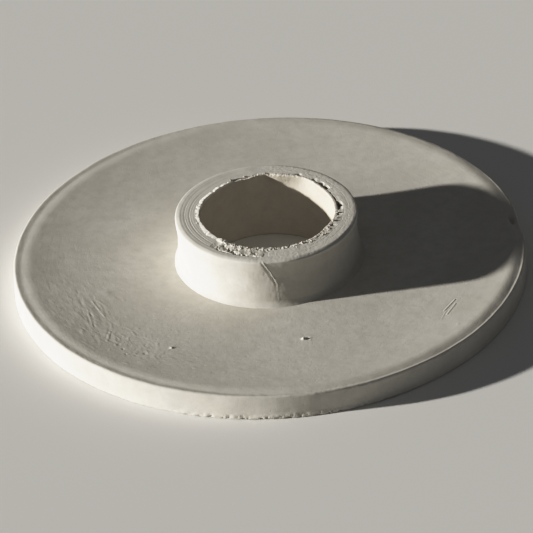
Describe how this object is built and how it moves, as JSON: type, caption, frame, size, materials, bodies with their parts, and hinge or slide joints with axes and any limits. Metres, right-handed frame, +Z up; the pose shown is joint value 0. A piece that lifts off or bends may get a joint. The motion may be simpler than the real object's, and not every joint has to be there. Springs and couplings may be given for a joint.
{
  "type": "undrilled collar flange plate",
  "caption": "Round undrilled plate flange in chalky off-white ceramic, with a raised lip round its edge and a short hollow collar wound in plies round an open bore.",
  "frame": {"origin": "centre of the plate's underside, where the bore's axis meets the surface the part rests on", "axes": "+Z up along the bore's axis, out of the collar; -Y is the front, where the outer ply's ends meet; +X to the right of it"},
  "size_m": [0.2, 0.2, 0.0286],
  "materials": {
    "plate_body": "matte, unglazed, rubbed smooth",
    "collar_ply": "matte, unglazed, fine grained",
    "liner_skin": "matte, with a torn crumbly edge",
    "filler": "matte, rough where it was left unsmoothed"
  },
  "bodies": {
    "root": {"plate": "plate_body", "outer_ply": "collar_ply", "middle_ply": "collar_ply", "inner_ply": "collar_ply", "bore_liner": "liner_skin", "foot_bead": "filler", "seam_filler": "filler", "rim_patch": "filler"}
  },
  "joints": []
}
